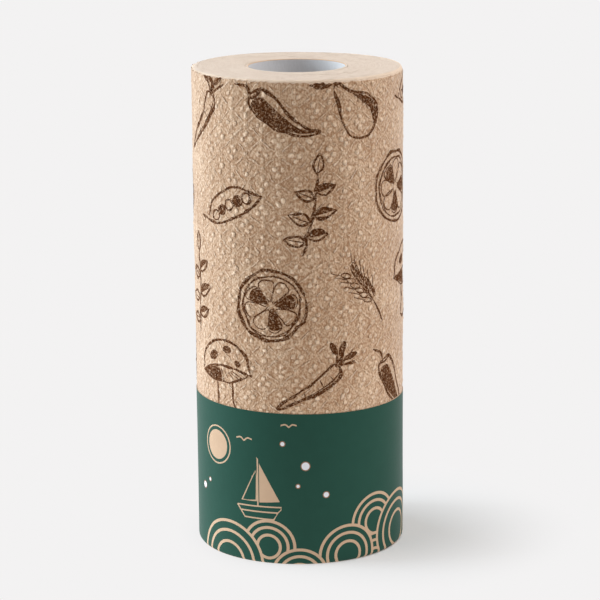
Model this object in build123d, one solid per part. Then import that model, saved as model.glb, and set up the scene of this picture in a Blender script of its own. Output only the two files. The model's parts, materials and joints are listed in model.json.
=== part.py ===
from build123d import *
import os
from math import cos, pi, radians, sin

# A kitchen paper towel roll that stands on its end.
# A long embossed paper sheet is wound on a spiral-wound cardboard core, and a printed paper
# band is wrapped round the lower third and glued over its own end.
# The base stands on Z = 0, the roll's axis is +Z and the front of the print faces -Y.
# All sizes are in millimetres and all angles in degrees, counted from +X towards +Y.

# Wound sheet
roll_height = 225.0
roll_radius = 48.6
top_edge_radius = 1.2
base_edge_radius = 2.0
bore_edge_chamfer = 0.5
sheet_thickness = 0.5
loose_end_angle = 62.0

# Turns that show on both end faces
turn_line_count = 5
turn_line_width = 0.6
turn_line_depth = 0.4

# Cardboard core
core_bore_radius = 22.4
core_wall = 0.9
core_recess = 0.1
core_edge_chamfer = 0.2
core_seam_pitch = 150.0
core_seam_width = 0.5
core_seam_depth = 0.25
core_seam_overrun = 15.0

# Printed paper band
band_height = 72.2
band_thickness = 0.22
band_squeeze = 0.3
band_clearance = 0.1
squeeze_ramp = 3.0
band_tuck_angle = 55.0
band_lap_width = 14.0
band_lap_angle = 104.0

core_outer_radius = core_bore_radius + core_wall
core_length = roll_height - 2 * core_recess
seat_radius = roll_radius - band_squeeze


def half_turn(profile, shift=0.0):
    """Turns a profile in the XZ plane through the half turn from +X to -X on the +Y side."""
    return Pos(shift, 0, 0) * revolve(profile, Axis.Z, 180)


def sheet_profile(radius):
    """Half section of the wound paper before the seat and the bore are cut."""
    corner = top_edge_radius
    walls = [
        Line((radius, 0), (radius, roll_height - corner)),
        CenterArc((radius - corner, roll_height - corner), corner, 0, 90),
        Line((radius - corner, roll_height), (0, roll_height)),
        Line((0, roll_height), (0, 0)),
        Line((0, 0), (radius, 0)),
    ]
    return Plane.XZ * make_face(walls)


def seat_cutter():
    """The ring that the band squeezes away, with a conical ramp above it."""
    reach = roll_radius + 2 * sheet_thickness
    ramp_height = squeeze_ramp * (reach - seat_radius) / band_squeeze
    corners = [
        (seat_radius, -base_edge_radius),
        (seat_radius, band_height),
        (reach, band_height + ramp_height),
        (reach, -base_edge_radius),
    ]
    return revolve(Plane.XZ * make_face(Polyline(*corners, close=True)), Axis.Z, 360)


def bore_profile():
    """Half section of the bore, which opens out a little at both end faces."""
    mouth = core_outer_radius + bore_edge_chamfer
    corners = [
        (0, 0),
        (mouth, 0),
        (core_outer_radius, bore_edge_chamfer),
        (core_outer_radius, roll_height - bore_edge_chamfer),
        (mouth, roll_height),
        (0, roll_height),
    ]
    return Plane.XZ * make_face(Polyline(*corners, close=True))


def groove_profile(middle, face_z, inward):
    """Section of a groove in an end face at the given distance from the axis."""
    corners = [
        (middle - turn_line_width / 2, face_z),
        (middle, face_z + inward * turn_line_depth),
        (middle + turn_line_width / 2, face_z),
    ]
    return Plane.XZ * make_face(Polyline(*corners, close=True))


def turn_lines():
    """A spiral groove on each end face where the turns part, as half turns about two centres."""
    first = core_outer_radius + bore_edge_chamfer + turn_line_width
    last = seat_radius - base_edge_radius - turn_line_width
    pitch = (last - first) / turn_line_count
    grooves = []
    for number in range(2 * turn_line_count):
        middle = first + pitch * number / 2
        for face_z, inward in ((roll_height, -1), (0, 1)):
            section = groove_profile(middle, face_z, inward)
            if number % 2 == 0:
                grooves.append(half_turn(section))
            else:
                grooves.append(Rot(0, 0, 180) * half_turn(section, -pitch / 2))
    return grooves


def wound_sheet():
    """The towel paper: round on one half, and on the other rising to the step of its loose end."""
    rise = sheet_thickness / 2
    plain_half = half_turn(sheet_profile(roll_radius))
    rising_half = Rot(0, 0, 180) * half_turn(sheet_profile(roll_radius + rise), -rise)
    paper = plain_half + rising_half - seat_cutter()
    base_rim = paper.edges().group_by(Axis.Z)[0].filter_by(GeomType.CIRCLE)
    paper = fillet(base_rim, base_edge_radius)
    paper -= revolve(bore_profile(), Axis.Z, 360)
    for groove in turn_lines():
        paper -= groove
    return Rot(0, 0, loose_end_angle) * paper


def core_tube():
    """The cardboard core, with the helical gap between the edges of its inner ply."""
    tube = Cylinder(core_outer_radius, core_length) - Cylinder(core_bore_radius, core_length)
    rims = tube.edges().filter_by(GeomType.CIRCLE)
    tube = chamfer(rims, core_edge_chamfer)
    path = Helix(core_seam_pitch, core_length + 2 * core_seam_overrun, core_bore_radius)
    start = path @ 0
    cutter = Plane(start, x_dir=(1, 0, 0), z_dir=path % 0) * Rectangle(
        2 * core_seam_depth, core_seam_width
    )
    seam = Pos(0, 0, -core_length / 2 - core_seam_overrun) * sweep(cutter, path, is_frenet=True)
    return Pos(0, 0, roll_height / 2) * (tube - seam)


def band_profile(inner):
    """Section of the band: an upright strip whose foot tucks round the roll's soft base edge."""
    low = base_edge_radius
    outer = inner + band_thickness
    centre = (inner - low, low)
    tuck = radians(band_tuck_angle)
    inner_foot = (centre[0] + low * cos(tuck), low - low * sin(tuck))
    reach = low + band_thickness
    outer_foot = (centre[0] + reach * cos(tuck), low - reach * sin(tuck))
    walls = [
        Line((inner, low), (inner, band_height)),
        Line((inner, band_height), (outer, band_height)),
        Line((outer, band_height), (outer, low)),
        CenterArc(centre, reach, -band_tuck_angle, band_tuck_angle),
        Line(outer_foot, inner_foot),
        CenterArc(centre, low, -band_tuck_angle, band_tuck_angle),
    ]
    return Plane.XZ * make_face(walls)


def paper_band():
    """The band: a strip wound once round the roll, with its end glued over its start."""
    inner = seat_radius + band_clearance
    rise = band_thickness / 2
    lap_degrees = band_lap_width / (2 * pi * roll_radius) * 360
    first_half = half_turn(band_profile(inner))
    second_half = Rot(0, 0, 180) * half_turn(band_profile(inner + rise), -rise)
    lap = revolve(band_profile(inner + band_thickness), Axis.Z, lap_degrees)
    return Rot(0, 0, band_lap_angle) * (first_half + second_half + lap)


os.makedirs("parts", exist_ok=True)
export_step(wound_sheet(), "parts/wound_sheet.step")
export_step(core_tube(), "parts/core_tube.step")
export_step(paper_band(), "parts/paper_band.step")
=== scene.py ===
# %% [markdown]
# # A kitchen paper towel roll
# A long embossed sheet of tissue is wound on a cardboard core, and a printed paper band holds
# the lowest third. The construction is settled in another model, which is loaded here as a
# frame with every size in it. This lesson gives each piece the surface that it really has.

# %% Load the frame
import json
import math
from functools import reduce

import bpy
import numpy as np
from mathutils import Matrix, Vector
from mathutils.geometry import delaunay_2d_cdt


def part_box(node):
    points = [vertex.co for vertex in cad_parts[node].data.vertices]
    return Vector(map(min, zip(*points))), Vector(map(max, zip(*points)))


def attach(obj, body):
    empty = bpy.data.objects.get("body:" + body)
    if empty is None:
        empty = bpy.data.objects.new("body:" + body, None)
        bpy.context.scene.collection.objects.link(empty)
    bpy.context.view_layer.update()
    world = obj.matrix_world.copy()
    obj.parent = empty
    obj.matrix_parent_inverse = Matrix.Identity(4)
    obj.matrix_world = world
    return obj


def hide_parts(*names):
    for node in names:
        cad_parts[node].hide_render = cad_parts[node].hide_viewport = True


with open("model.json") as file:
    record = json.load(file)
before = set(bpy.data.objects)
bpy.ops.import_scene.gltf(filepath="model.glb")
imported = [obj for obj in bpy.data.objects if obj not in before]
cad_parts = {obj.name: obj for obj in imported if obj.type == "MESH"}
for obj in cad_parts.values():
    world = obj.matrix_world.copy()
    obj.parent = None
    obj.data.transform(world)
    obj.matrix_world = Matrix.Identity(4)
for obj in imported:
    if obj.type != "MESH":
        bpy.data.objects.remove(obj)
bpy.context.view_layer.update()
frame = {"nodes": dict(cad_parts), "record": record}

# %% [markdown]
# ## Sizes
# Paper sizes are easiest to think of in millimetres, while Blender works in metres. All the
# sizes below are in millimetres, read from the frame where it has them, and one helper turns
# finished points into metres. Angles are in radians, counted from +X towards +Y. The front of
# the print faces -Y.

# %% Read the main sizes
MM = 0.001
FRONT = -math.pi / 2


def node_box(node):
    """Lowest and highest corner of a node of the frame, in millimetres."""
    low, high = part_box(node)
    return Vector(low) / MM, Vector(high) / MM


sheet_box, core_box, band_box = (node_box(n) for n in ("wound_sheet", "core_tube", "paper_band"))
ROLL_RADIUS = -sheet_box[0].x
ROLL_HEIGHT = sheet_box[1].z
CORE_RADIUS = core_box[1].x
BAND_TOP = band_box[1].z
AROUND = 2 * math.pi * ROLL_RADIUS

SHEET_STEP = 0.5
LOOSE_END = math.radians(62.0)
BAND_SQUEEZE = 0.3
RAMP_HEIGHT = 3.0
BASE_ROUNDING = 2.0
print(f"roll {2 * ROLL_RADIUS:.1f} wide, {ROLL_HEIGHT:.1f} tall, band up to {BAND_TOP:.1f}")

# %% [markdown]
# ## Meshes from arrays
# Every piece here is a sheet that is bent, so its points come from arrays of unrolled places.
# A mesh takes those arrays directly, which is much faster than adding faces one by one.

# %% Make a mesh piece
SHARP_CORNER = math.radians(62)


def add_piece(name, points, faces, materials, slots=None):
    """Makes a mesh object from points in millimetres, with one material slot number a face."""
    mesh = bpy.data.meshes.new(name)
    mesh.from_pydata((np.asarray(points) * MM).tolist(), [], faces)
    for material in materials:
        mesh.materials.append(material)
    if slots is not None:
        mesh.polygons.foreach_set("material_index", np.asarray(slots, dtype=np.int32))
    mesh.polygons.foreach_set("use_smooth", np.ones(len(mesh.polygons), dtype=bool))
    mesh.validate()
    mesh.set_sharp_from_angle(angle=SHARP_CORNER)
    piece = bpy.data.objects.new(name, mesh)
    bpy.context.scene.collection.objects.link(piece)
    print(name, len(mesh.vertices), "points", sum(len(p.vertices) - 2 for p in mesh.polygons), "triangles")
    return piece


def grid_triangles(columns, rows):
    """Triangles of a grid of columns by rows points, with each diagonal rising to the right."""
    corner = (np.arange(columns - 1)[:, None] * rows + np.arange(rows - 1)[None, :]).ravel()
    right = corner + rows
    lower = np.stack([corner, right, right + 1], axis=1)
    upper = np.stack([corner, right + 1, corner + 1], axis=1)
    return np.concatenate([lower, upper]).tolist()


# %% [markdown]
# ## Camera
# The photograph looks slightly down on the roll from a long way off. The camera stands where a
# fit to the roll's outlines puts it: its distance, its height and its small tilts are real
# sizes and angles, and the lens is the one that gives the roll its size in the picture.

# %% Place the camera
CAMERA_DISTANCE = 1133.6
CAMERA_HEIGHT = 380.3
CAMERA_LENS = 148.8
LOOK_DOWN = math.radians(13.2125)
LOOK_ASIDE = math.radians(0.032)
CAMERA_ROLL = math.radians(-0.48)


def add_camera():
    """A camera that is rolled, tipped up from looking straight down, and turned aside."""
    data = bpy.data.cameras.new("camera")
    data.lens = CAMERA_LENS
    data.sensor_width = 36
    camera = bpy.data.objects.new("camera", data)
    place = Matrix.Translation(Vector((0, -CAMERA_DISTANCE, CAMERA_HEIGHT)) * MM)
    aside = Matrix.Rotation(-LOOK_ASIDE, 4, "Z")
    tipped = Matrix.Rotation(math.pi / 2 - LOOK_DOWN, 4, "X")
    rolled = Matrix.Rotation(CAMERA_ROLL, 4, "Z")
    camera.matrix_world = place @ aside @ tipped @ rolled
    bpy.context.scene.collection.objects.link(camera)
    bpy.context.scene.camera = camera
    return camera


print("camera at", [round(v, 3) for v in add_camera().location])

# %% [markdown]
# ## Shader maths
# A material is a small sum over the surface. Written as nodes a sum is hard to read, so one
# class wraps a socket and lets Python's own operators add the Math nodes, also where the plain
# number comes first. Everything that is not plain maths comes from one method, which sets a
# node's settings before its sockets.

# %% Wrap sockets for sums
def both_ways(operation):
    """The methods that add one kind of Math node: for `wire + 1`, and for `1 + wire`."""
    def straight(self, other):
        return self.math(operation, self, other)

    def reflected(self, other):
        return self.math(operation, other, self)

    return straight, reflected


class Wire:
    """A node's output that can stand in a sum."""

    def __init__(self, kit, socket):
        self.kit = kit
        self.socket = socket

    def math(self, operation, *values):
        return self.kit.node("ShaderNodeMath", {"operation": operation}, dict(enumerate(values)))

    __add__, __radd__ = both_ways("ADD")
    __sub__, __rsub__ = both_ways("SUBTRACT")
    __mul__, __rmul__ = both_ways("MULTIPLY")
    __truediv__ = both_ways("DIVIDE")[0]
    __pow__ = both_ways("POWER")[0]
    least = both_ways("MINIMUM")[0]
    most = both_ways("MAXIMUM")[0]

    def __abs__(self):
        return self.math("ABSOLUTE", self)

    def fraction(self):
        return self.math("FRACT", self)

    def rounded(self):
        return self.math("ROUND", self)

    def above(self, low, high):
        """0 below low, 1 above high, and smooth between."""
        settings = {"interpolation_type": "SMOOTHSTEP"}
        return self.kit.node("ShaderNodeMapRange", settings, {0: self, 1: low, 2: high})


class Kit:
    """The node tree of one material or world, with short ways to add to it."""

    def __init__(self, owner):
        owner.use_nodes = True
        self.owner = owner
        self.tree = owner.node_tree
        self.tree.nodes.clear()

    def node(self, kind, settings=None, sockets=None, output=0):
        """Adds any node: its settings first, then the values or links of its sockets."""
        made = self.tree.nodes.new(kind)
        for key, value in (settings or {}).items():
            setattr(made, key, value)
        for key, value in (sockets or {}).items():
            if isinstance(value, Wire):
                self.tree.links.new(value.socket, made.inputs[key])
            else:
                made.inputs[key].default_value = value
        return Wire(self, made.outputs[output]) if made.outputs else None

    def vector(self, operation, first, second, output=0):
        """A Vector Math node on two vectors."""
        return self.node("ShaderNodeVectorMath", {"operation": operation}, {0: first, 1: second}, output)

    def place(self, scale=1.0, stretch=(1, 1, 1)):
        """The object's own coordinates in millimetres, times a stretch along each axis."""
        spot = self.node("ShaderNodeTexCoord", output="Object")
        return self.vector("MULTIPLY", spot, [scale * part / MM for part in stretch])

    def parts(self, vector):
        """The three parts of a vector, each fit for a sum."""
        outputs = self.node("ShaderNodeSeparateXYZ", None, {0: vector}).socket.node.outputs
        return [Wire(self, outputs[axis]) for axis in "XYZ"]

    def axis_parts(self):
        """X, Y and Z in millimetres, then the radius and the share of a turn that they make."""
        x, y, z = self.parts(self.place())
        return x, y, z, (x * x + y * y) ** 0.5, y.math("ARCTAN2", y, x) / (2 * math.pi)

    def noise(self, grain, detail=2.0, stretch=(1, 1, 1)):
        """Soft noise from 0 to 1 whose grains are about that many millimetres across."""
        sockets = {"Vector": self.place(1 / grain, stretch), "Scale": 1.0, "Detail": detail}
        return self.node("ShaderNodeTexNoise", None, sockets)

    def blend(self, factor, first, second):
        """A colour between two colours."""
        sockets = {"Factor": factor, 6: as_rgba(first), 7: as_rgba(second)}
        return self.node("ShaderNodeMix", {"data_type": "RGBA"}, sockets, output=2)

    def bump(self, height, depth):
        """A normal that tilts as this height would, where 1 stands for a depth in millimetres."""
        sockets = {"Height": height, "Distance": depth * MM, "Strength": 1.0}
        return self.node("ShaderNodeBump", None, sockets)

    def finish(self, shader):
        """Shows a shader as the surface, and gives back what the tree belongs to."""
        world = isinstance(self.owner, bpy.types.World)
        kind = "ShaderNodeOutputWorld" if world else "ShaderNodeOutputMaterial"
        self.node(kind, None, {"Surface": shader})
        return self.owner

    def surface(self, colour, roughness, gloss, normal, more=None):
        """Shows a paper or board surface, and gives back its material."""
        sockets = {
            "Base Color": colour, "Roughness": roughness, "Specular IOR Level": gloss,
            "Normal": normal, **(more or {}),
        }
        return self.finish(self.node("ShaderNodeBsdfPrincipled", None, sockets))


def as_rgba(colour):
    return colour if isinstance(colour, Wire) else (*colour, 1.0)


def screen_colour(red, green, blue):
    """A colour given as it reads on screen, from 0 to 255, in the shader's linear scale."""
    parts = [value / 255 for value in (red, green, blue)]
    return tuple(p / 12.92 if p <= 0.04045 else ((p + 0.055) / 1.055) ** 2.4 for p in parts)


print("half grey on screen is", round(screen_colour(128, 128, 128)[0], 3), "in the shader")

# %% [markdown]
# ## Light and floor
# Two strong tall lights stand at the left, one beside the roll and one a little behind it, and
# rake over the quilting. They are slightly cool, so the tan paper stays pale where they meet
# it. A weaker one stands at the right, a large one hangs high up on that side, and a faint one
# hangs overhead. So the front of the roll is its darkest part, the end face is bright and the
# shadow falls to the right. The floor is plain and pale, and a little warm, which evens out the
# cool light. Close to the roll, and most at its right, it takes the shadow. Further out it
# turns into an even backdrop of the same tone, so no horizon shows from any side.

# %% Set the lights
BACKDROP = screen_colour(243, 242, 242)
SKY_LEVEL = 0.28


def add_lamp(name, azimuth, height, distance, size, level, tint=(1.0, 1.0, 1.0)):
    """A soft light that faces the middle of the roll. Azimuth 0 is the front, 90 the right."""
    turn = FRONT + math.radians(azimuth)
    place = Vector((math.cos(turn) * distance, math.sin(turn) * distance, height)) * MM
    target = Vector((0, 0, ROLL_HEIGHT / 2)) * MM
    data = bpy.data.lights.new(name, "AREA")
    data.shape = "RECTANGLE"
    data.size, data.size_y = (side * MM for side in size)
    data.energy = level * math.pi * data.size * data.size_y
    data.color = tint
    lamp = bpy.data.objects.new(name, data)
    lamp.location = place
    lamp.rotation_euler = (target - place).to_track_quat("-Z", "Y").to_euler()
    bpy.context.scene.collection.objects.link(lamp)
    return lamp


COOL_TINT = (0.9, 1.03, 1.13)
LAMPS = [
    add_lamp("left_back_light", -116, 480, 1800, (1500, 1600), 4.4, COOL_TINT),
    add_lamp("left_light", -90, 480, 1800, (700, 1400), 10.0, COOL_TINT),
    add_lamp("right_light", 70, 480, 1800, (700, 1400), 2.05),
    add_lamp("high_right_light", 90, 1600, 900, (1100, 1100), 5.6),
    add_lamp("top_light", 0, 2000, 30, (1400, 1400), 0.7),
]
print("lamps", [lamp.name for lamp in LAMPS])

# %% Make the world and the floor
FLOOR_HALF = 6000.0
SHADOW_CENTRE = (38.0, 8.0, 0.0)
SHADOW_REACH = 20.0
BACKDROP_START = 100.0
FLOOR_PAPER = (0.665, 0.657, 0.65, 1)
NEAR_GLOW = (1.25, 1.24, 1.23)
FAR_GLOW = (0.55, 0.55, 0.55)
NEAR_GLOW_END = 150.0
FAR_GLOW_START = 500.0


def seen_directly(kit):
    """1 for what the camera sees, straight or in a gloss, and 0 for light on its way."""
    rays = ("Is Camera Ray", "Is Glossy Ray", "Is Transmission Ray")
    camera, glossy, through = (kit.node("ShaderNodeLightPath", output=ray) for ray in rays)
    return camera.most(glossy).most(through)


def light_world():
    """An even sky: backdrop tone where it is seen, and soft light everywhere else."""
    world = bpy.data.worlds.new("sky")
    bpy.context.scene.world = world
    kit = Kit(world)
    colour = kit.blend(seen_directly(kit), (SKY_LEVEL,) * 3, BACKDROP)
    kit.finish(kit.node("ShaderNodeBackground", None, {"Color": colour}))


def floor_material():
    """Matt near the roll, where shadows fall, and an even tone further out.

    The light that it sends to the roll is stronger from close by, as from a lit table.
    """
    kit = Kit(bpy.data.materials.new("floor"))
    flat = kit.vector("MULTIPLY", kit.place(), (1, 1, 0))
    reach = kit.vector("DISTANCE", flat, SHADOW_CENTRE, output="Value")
    paper = kit.node("ShaderNodeBsdfDiffuse", None, {"Color": FLOOR_PAPER})
    sent = kit.blend(reach.above(NEAR_GLOW_END, FAR_GLOW_START), NEAR_GLOW, FAR_GLOW)
    even = kit.node("ShaderNodeEmission", None, {"Color": kit.blend(seen_directly(kit), sent, BACKDROP)})
    far = reach.above(SHADOW_REACH, BACKDROP_START)
    return kit.finish(kit.node("ShaderNodeMixShader", None, {0: far, 1: paper, 2: even}))


light_world()
corners = [(x * FLOOR_HALF, y * FLOOR_HALF, 0) for x, y in ((-1, -1), (1, -1), (1, 1), (-1, 1))]
floor = add_piece("floor", corners, [(0, 1, 2, 3)], [floor_material()])
bpy.context.scene.view_settings.view_transform = "Standard"

# %% [markdown]
# ## The quilting's pattern
# Two plies are pressed together with a pattern of small points, which gives the towel its
# quilting: diamonds whose sides are short bars, with four round beads in the middle of each
# and a dot where their side corners meet. Its rule is one distance: how far a place is from
# the rim of the nearest bead, dot or bar. The sum is plain arithmetic, and the functions that
# compare two values are handed in, so the same lines serve arrays of mesh points and the
# sockets of a shader.

# %% State the pattern's rule
DIAMONDS_AROUND = 20
DIAMOND_WIDTH = AROUND / DIAMONDS_AROUND
DIAMOND_HEIGHT = 13.2
BEAD_SIDE = 1.85
BEAD_UP = 2.5
BEAD_RADIUS = 1.03
DOT_RADIUS = 0.85
BAR_HALF_WIDTH = 0.3
BAR_HALF_LENGTH = 2.7


def rim_gap(off_first, off_second, least, most):
    """Distance to the rim of the nearest element, below zero inside it, in millimetres."""
    half_wide, half_high = DIAMOND_WIDTH / 2, DIAMOND_HEIGHT / 2
    x, y = abs(off_first + off_second) * half_wide, abs(off_first - off_second) * half_high
    dots = [(BEAD_SIDE, 0, BEAD_RADIUS), (0, BEAD_UP, BEAD_RADIUS), (half_wide, 0, DOT_RADIUS)]
    gaps = []
    for dot_x, dot_y, size in dots:
        away, up = x - dot_x, y - dot_y
        gaps.append((away * away + up * up) ** 0.5 - size)
    side = math.hypot(half_wide, half_high)
    across = half_wide * half_high * 2 / side
    for here, there in ((off_first, off_second), (off_second, off_first)):
        gaps.append(most((0.5 - abs(here)) * across - BAR_HALF_WIDTH, abs(there) * side - BAR_HALF_LENGTH))
    return reduce(least, gaps)


print(f"diamonds {DIAMOND_WIDTH:.1f} wide and {DIAMOND_HEIGHT} tall, {DIAMONDS_AROUND} around")

# %% [markdown]
# ## Tissue paper
# Unbleached tissue is a matt tan felt of short fibres, with darker flecks among them. Its
# surface is crinkled finely all over by the blade that lifts it off the drying cylinder. The
# quilting is real geometry, made further down. Each of its points also keeps its own height and
# its place in the pattern, and the material uses them: raised paper gets painted light and the
# hollows get painted shade, and a bump draws the rims of beads and bars crisper than the mesh
# can hold. A finer bump adds the crinkle. The paper's tone, with this painted light and shade,
# is one sum of named shares.

# %% Make the paper materials
TISSUE = screen_colour(243, 213, 182)
TISSUE_SHADE = screen_colour(165, 123, 88)
SHEEN_TINT = (1.0, 0.99, 0.97)
CUT_EDGES = screen_colour(215, 199, 184)
INK = screen_colour(66, 31, 8)
INK_DRY = screen_colour(94, 53, 22)
INK_SKIPS = 0.7
RELIEF_LOW = -0.1
RELIEF_HIGH = 0.45
RELIEF_GAIN = 1.2
EMBOSS_DEPTH = 0.2
CRINKLE_DEPTH = 0.38
RIDGE_SHARE = 0.6
PRESSED = 0.52
BEAD_EDGE = (-0.2, 0.15)
HOLLOW_START = (0.0, 0.3)
HOLLOW_END = (0.3, 0.9)
HOLLOW_SHARE = 0.5
# Shares of the paper's tone: raised and pattern are painted light and shade from the quilting.
TONE_AND_PAINTED_SHADE_START = 0.04
TONE_AND_PAINTED_SHADE_SHARES = {"raised": 0.24, "pattern": 0.17, "fibres": 0.42, "clouds": 0.12, "flecks": -0.3}


def relief_height(kit):
    """The quilting's height in millimetres, as each point of the mesh keeps it."""
    return kit.node("ShaderNodeAttribute", {"attribute_name": "relief"}, output="Fac")


def embossing(kit):
    """The pattern with crisp rims: 1 on beads and bars, and below 0 in the hollow round them."""
    spot = kit.node("ShaderNodeAttribute", {"attribute_name": "pattern"}, output="Vector")
    first, second, strength = kit.parts(spot)
    gap = rim_gap(first - first.rounded(), second - second.rounded(), Wire.least, Wire.most)
    raised = 1 - gap.above(*BEAD_EDGE)
    hollow = gap.above(*HOLLOW_START) - gap.above(*HOLLOW_END)
    return (raised - HOLLOW_SHARE * hollow) * strength


def tissue_colour_and_painted_shade(kit, pattern):
    """The tan of the paper with darker flecks, plus painted light where it is raised and painted shade in
    hollows.
    """
    # raised and pattern paint light on raised paper and shade in the hollows; fibres, clouds and flecks
    # are the paper's own tone.
    parts = {
        "raised": relief_height(kit).above(RELIEF_LOW, RELIEF_HIGH),
        "pattern": pattern,
        "fibres": kit.noise(0.75, 3.0, (1, 1, 0.7)).above(0.3, 0.66),
        "clouds": kit.noise(9.0, 3.0),
        "flecks": kit.noise(1.5, 4.0).above(0.56, 0.7),
    }
    tone_and_painted_shade = sum(part * TONE_AND_PAINTED_SHADE_SHARES[name] for name, part in parts.items()) + TONE_AND_PAINTED_SHADE_START
    return kit.blend(tone_and_painted_shade.above(0.0, 1.0), TISSUE_SHADE, TISSUE)


def crinkle(kit):
    """Fine crepe: short ridges along the axis with felt between, flatter at the roll's sides."""
    ridges = kit.noise(1.3, 3.0, (1, 1, 0.6))
    felt = kit.noise(0.6, 2.0)
    aside = kit.parts(kit.place())[0] / ROLL_RADIUS
    return (ridges * RIDGE_SHARE + felt * (1 - RIDGE_SHARE)) * (1 - aside * aside * PRESSED)


def paper_surface(kit, colour, pattern, gloss, sheen):
    """A matt paper surface with its quilting sharpened and a fine crinkle added."""
    height = relief_height(kit) * RELIEF_GAIN + pattern * EMBOSS_DEPTH + crinkle(kit) * CRINKLE_DEPTH
    more = {"Sheen Weight": sheen, "Sheen Roughness": 0.5, "Sheen Tint": as_rgba(SHEEN_TINT)}
    return kit.surface(colour, 0.92, gloss, kit.bump(height, 1.0), more)


def tissue_material():
    kit = Kit(bpy.data.materials.new("tissue"))
    pattern = embossing(kit)
    return paper_surface(kit, tissue_colour_and_painted_shade(kit, pattern), pattern, gloss=0.25, sheen=0.35)


def ink_material():
    """Brown flexographic ink, which skips here and there."""
    kit = Kit(bpy.data.materials.new("brown_ink"))
    pattern = embossing(kit)
    skips = kit.noise(0.8, 4.0).above(0.46, 0.7) * INK_SKIPS
    ink = kit.blend(kit.noise(3.0), INK, INK_DRY)
    colour = kit.blend(skips, ink, tissue_colour_and_painted_shade(kit, pattern))
    return paper_surface(kit, colour, pattern, gloss=0.08, sheen=0.0)


tissue = tissue_material()
brown_ink = ink_material()
print("paper materials", tissue.name, brown_ink.name)

# %% [markdown]
# ## The unrolled sheet
# The outer turn is laid out flat first, in millimetres: `along` runs round the roll from the
# loose end, and `height` runs up. The turn starts under its own loose end and climbs by one
# sheet's thickness before it gets back there. Under the band the soft roll is squeezed a
# little, and at the foot it is rounded.

# %% Bend flat places round the roll
def eased(share):
    """A share from 0 to 1 that starts and ends gently."""
    return (1 - np.cos(np.pi * np.clip(share, 0, 1))) / 2


def soft_step(share):
    """A share from 0 to 1 with soft ends, as the shader's own smooth range has."""
    share = np.clip(share, 0, 1)
    return share * share * (3 - 2 * share)


def turned_radius(along):
    """Radius of the outer turn, which rises over the second half of its way round."""
    turn = np.clip(np.asarray(along) / AROUND, 0, 1)
    return ROLL_RADIUS + SHEET_STEP * eased(2 * turn - 1)


def squeezed_by(height):
    """How far the band and the rounded foot press the paper in at a height."""
    height = np.asarray(height)
    squeeze = BAND_SQUEEZE * (1 - soft_step((height - BAND_TOP) / RAMP_HEIGHT))
    low = np.clip(BASE_ROUNDING - height, 0, BASE_ROUNDING)
    return squeeze + BASE_ROUNDING - np.sqrt(BASE_ROUNDING**2 - low**2)


def bend(along, height, radius):
    """Points round the roll's axis from flat places and a radius for each."""
    turn = LOOSE_END + np.asarray(along) / ROLL_RADIUS
    return np.stack([np.cos(turn) * radius, np.sin(turn) * radius, height + 0 * radius], axis=-1)


def along_of(front_distance):
    """Flat place of a point that lies so far to the right of the front's middle."""
    return (front_distance + (FRONT - LOOSE_END) * ROLL_RADIUS) % AROUND


def aside_of(along):
    """1 at the roll's right, -1 at its left, and 0 at its front and back."""
    return np.sin(LOOSE_END + along / ROLL_RADIUS - FRONT)


print(f"front middle at {along_of(0.0):.1f} of {AROUND:.1f}")

# %% [markdown]
# ## Quilting
# Winding crushes the quilting unevenly, so random waves move each place a little before it is
# looked up in the pattern, dent the beads, and weaken the pattern here and there. At its two
# sides, where rolls press on each other in a pack, all of it is flatter. Between its beads the
# paper swells like a pillow, crumples a little and sags. All of it is one height for every flat
# place, which the mesh follows, because the quilting catches the light and shows against the
# background.

# %% Work out the quilting's height
CRUSH = 0.26
DENT = 0.13
EMBOSS_RISE = 0.3
RIM_TOP = 0.4
RIM_SLOPE = 1.3
STRENGTH = 0.95
STRENGTH_SPREAD = 0.36
PILLOW = 0.08
CRUMPLES = [(14, 4.5, 0.04), (15, 2.4, 0.03)]
SAG = 0.07


def random_waves(seed, length, along, height, count=36):
    """A smooth random field, of about unit size, that closes up once round the roll."""
    draw = np.random.default_rng(seed)
    total = np.zeros(np.broadcast(along, height).shape)
    for _ in range(count):
        heading = draw.uniform(0, np.pi)
        wave = length * draw.uniform(0.7, 1.4)
        turns = round(AROUND * math.cos(heading) / wave)
        phase = 2 * np.pi * (turns * along / AROUND + height * math.sin(heading) / wave)
        total += np.cos(phase + draw.uniform(0, 2 * np.pi))
    return total / math.sqrt(count / 2)


def quilting(along, height):
    """Height of the quilting over the sheet in millimetres, and each place in the pattern."""
    def waves(seed, length):
        return random_waves(seed, length, along, height)

    x = (along + CRUSH * waves(11, 11.0) + DENT * waves(17, 3.2)) / DIAMOND_WIDTH
    y = (height + CRUSH * waves(12, 11.0) + DENT * waves(18, 3.2)) / DIAMOND_HEIGHT
    first, second = x + y, x - y
    left_over = 1 - PRESSED * aside_of(along) ** 2
    strength = left_over * np.clip(STRENGTH + STRENGTH_SPREAD * waves(13, 5.0), 0.15, 1.5)
    gap = rim_gap(first - np.round(first), second - np.round(second), np.minimum, np.maximum)
    rise = EMBOSS_RISE * soft_step((RIM_TOP - gap) / RIM_SLOPE) * strength
    pillow = PILLOW * np.cos(2 * np.pi * first) * np.cos(2 * np.pi * second)
    crumple = sum(depth * waves(seed, length) for seed, length, depth in CRUMPLES)
    relief = rise + (pillow + crumple) * left_over + SAG * waves(16, 32.0)
    return relief, np.stack([first, second, strength], axis=-1)


print("a bead's middle rises", EMBOSS_RISE, "mm, and the paper between beads swells", PILLOW, "mm")

# %% [markdown]
# ## The outer turn
# The mesh has about twenty points across each diamond, enough for every bead, and far fewer
# rows under the band, where nothing shows. Its upper edge is a little ragged, and askew as on
# the real roll: a millimetre up at the left, and as much down at the right. A back face and
# narrow edges close it into a thin sheet that a printer or a measuring tool can also read.

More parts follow.
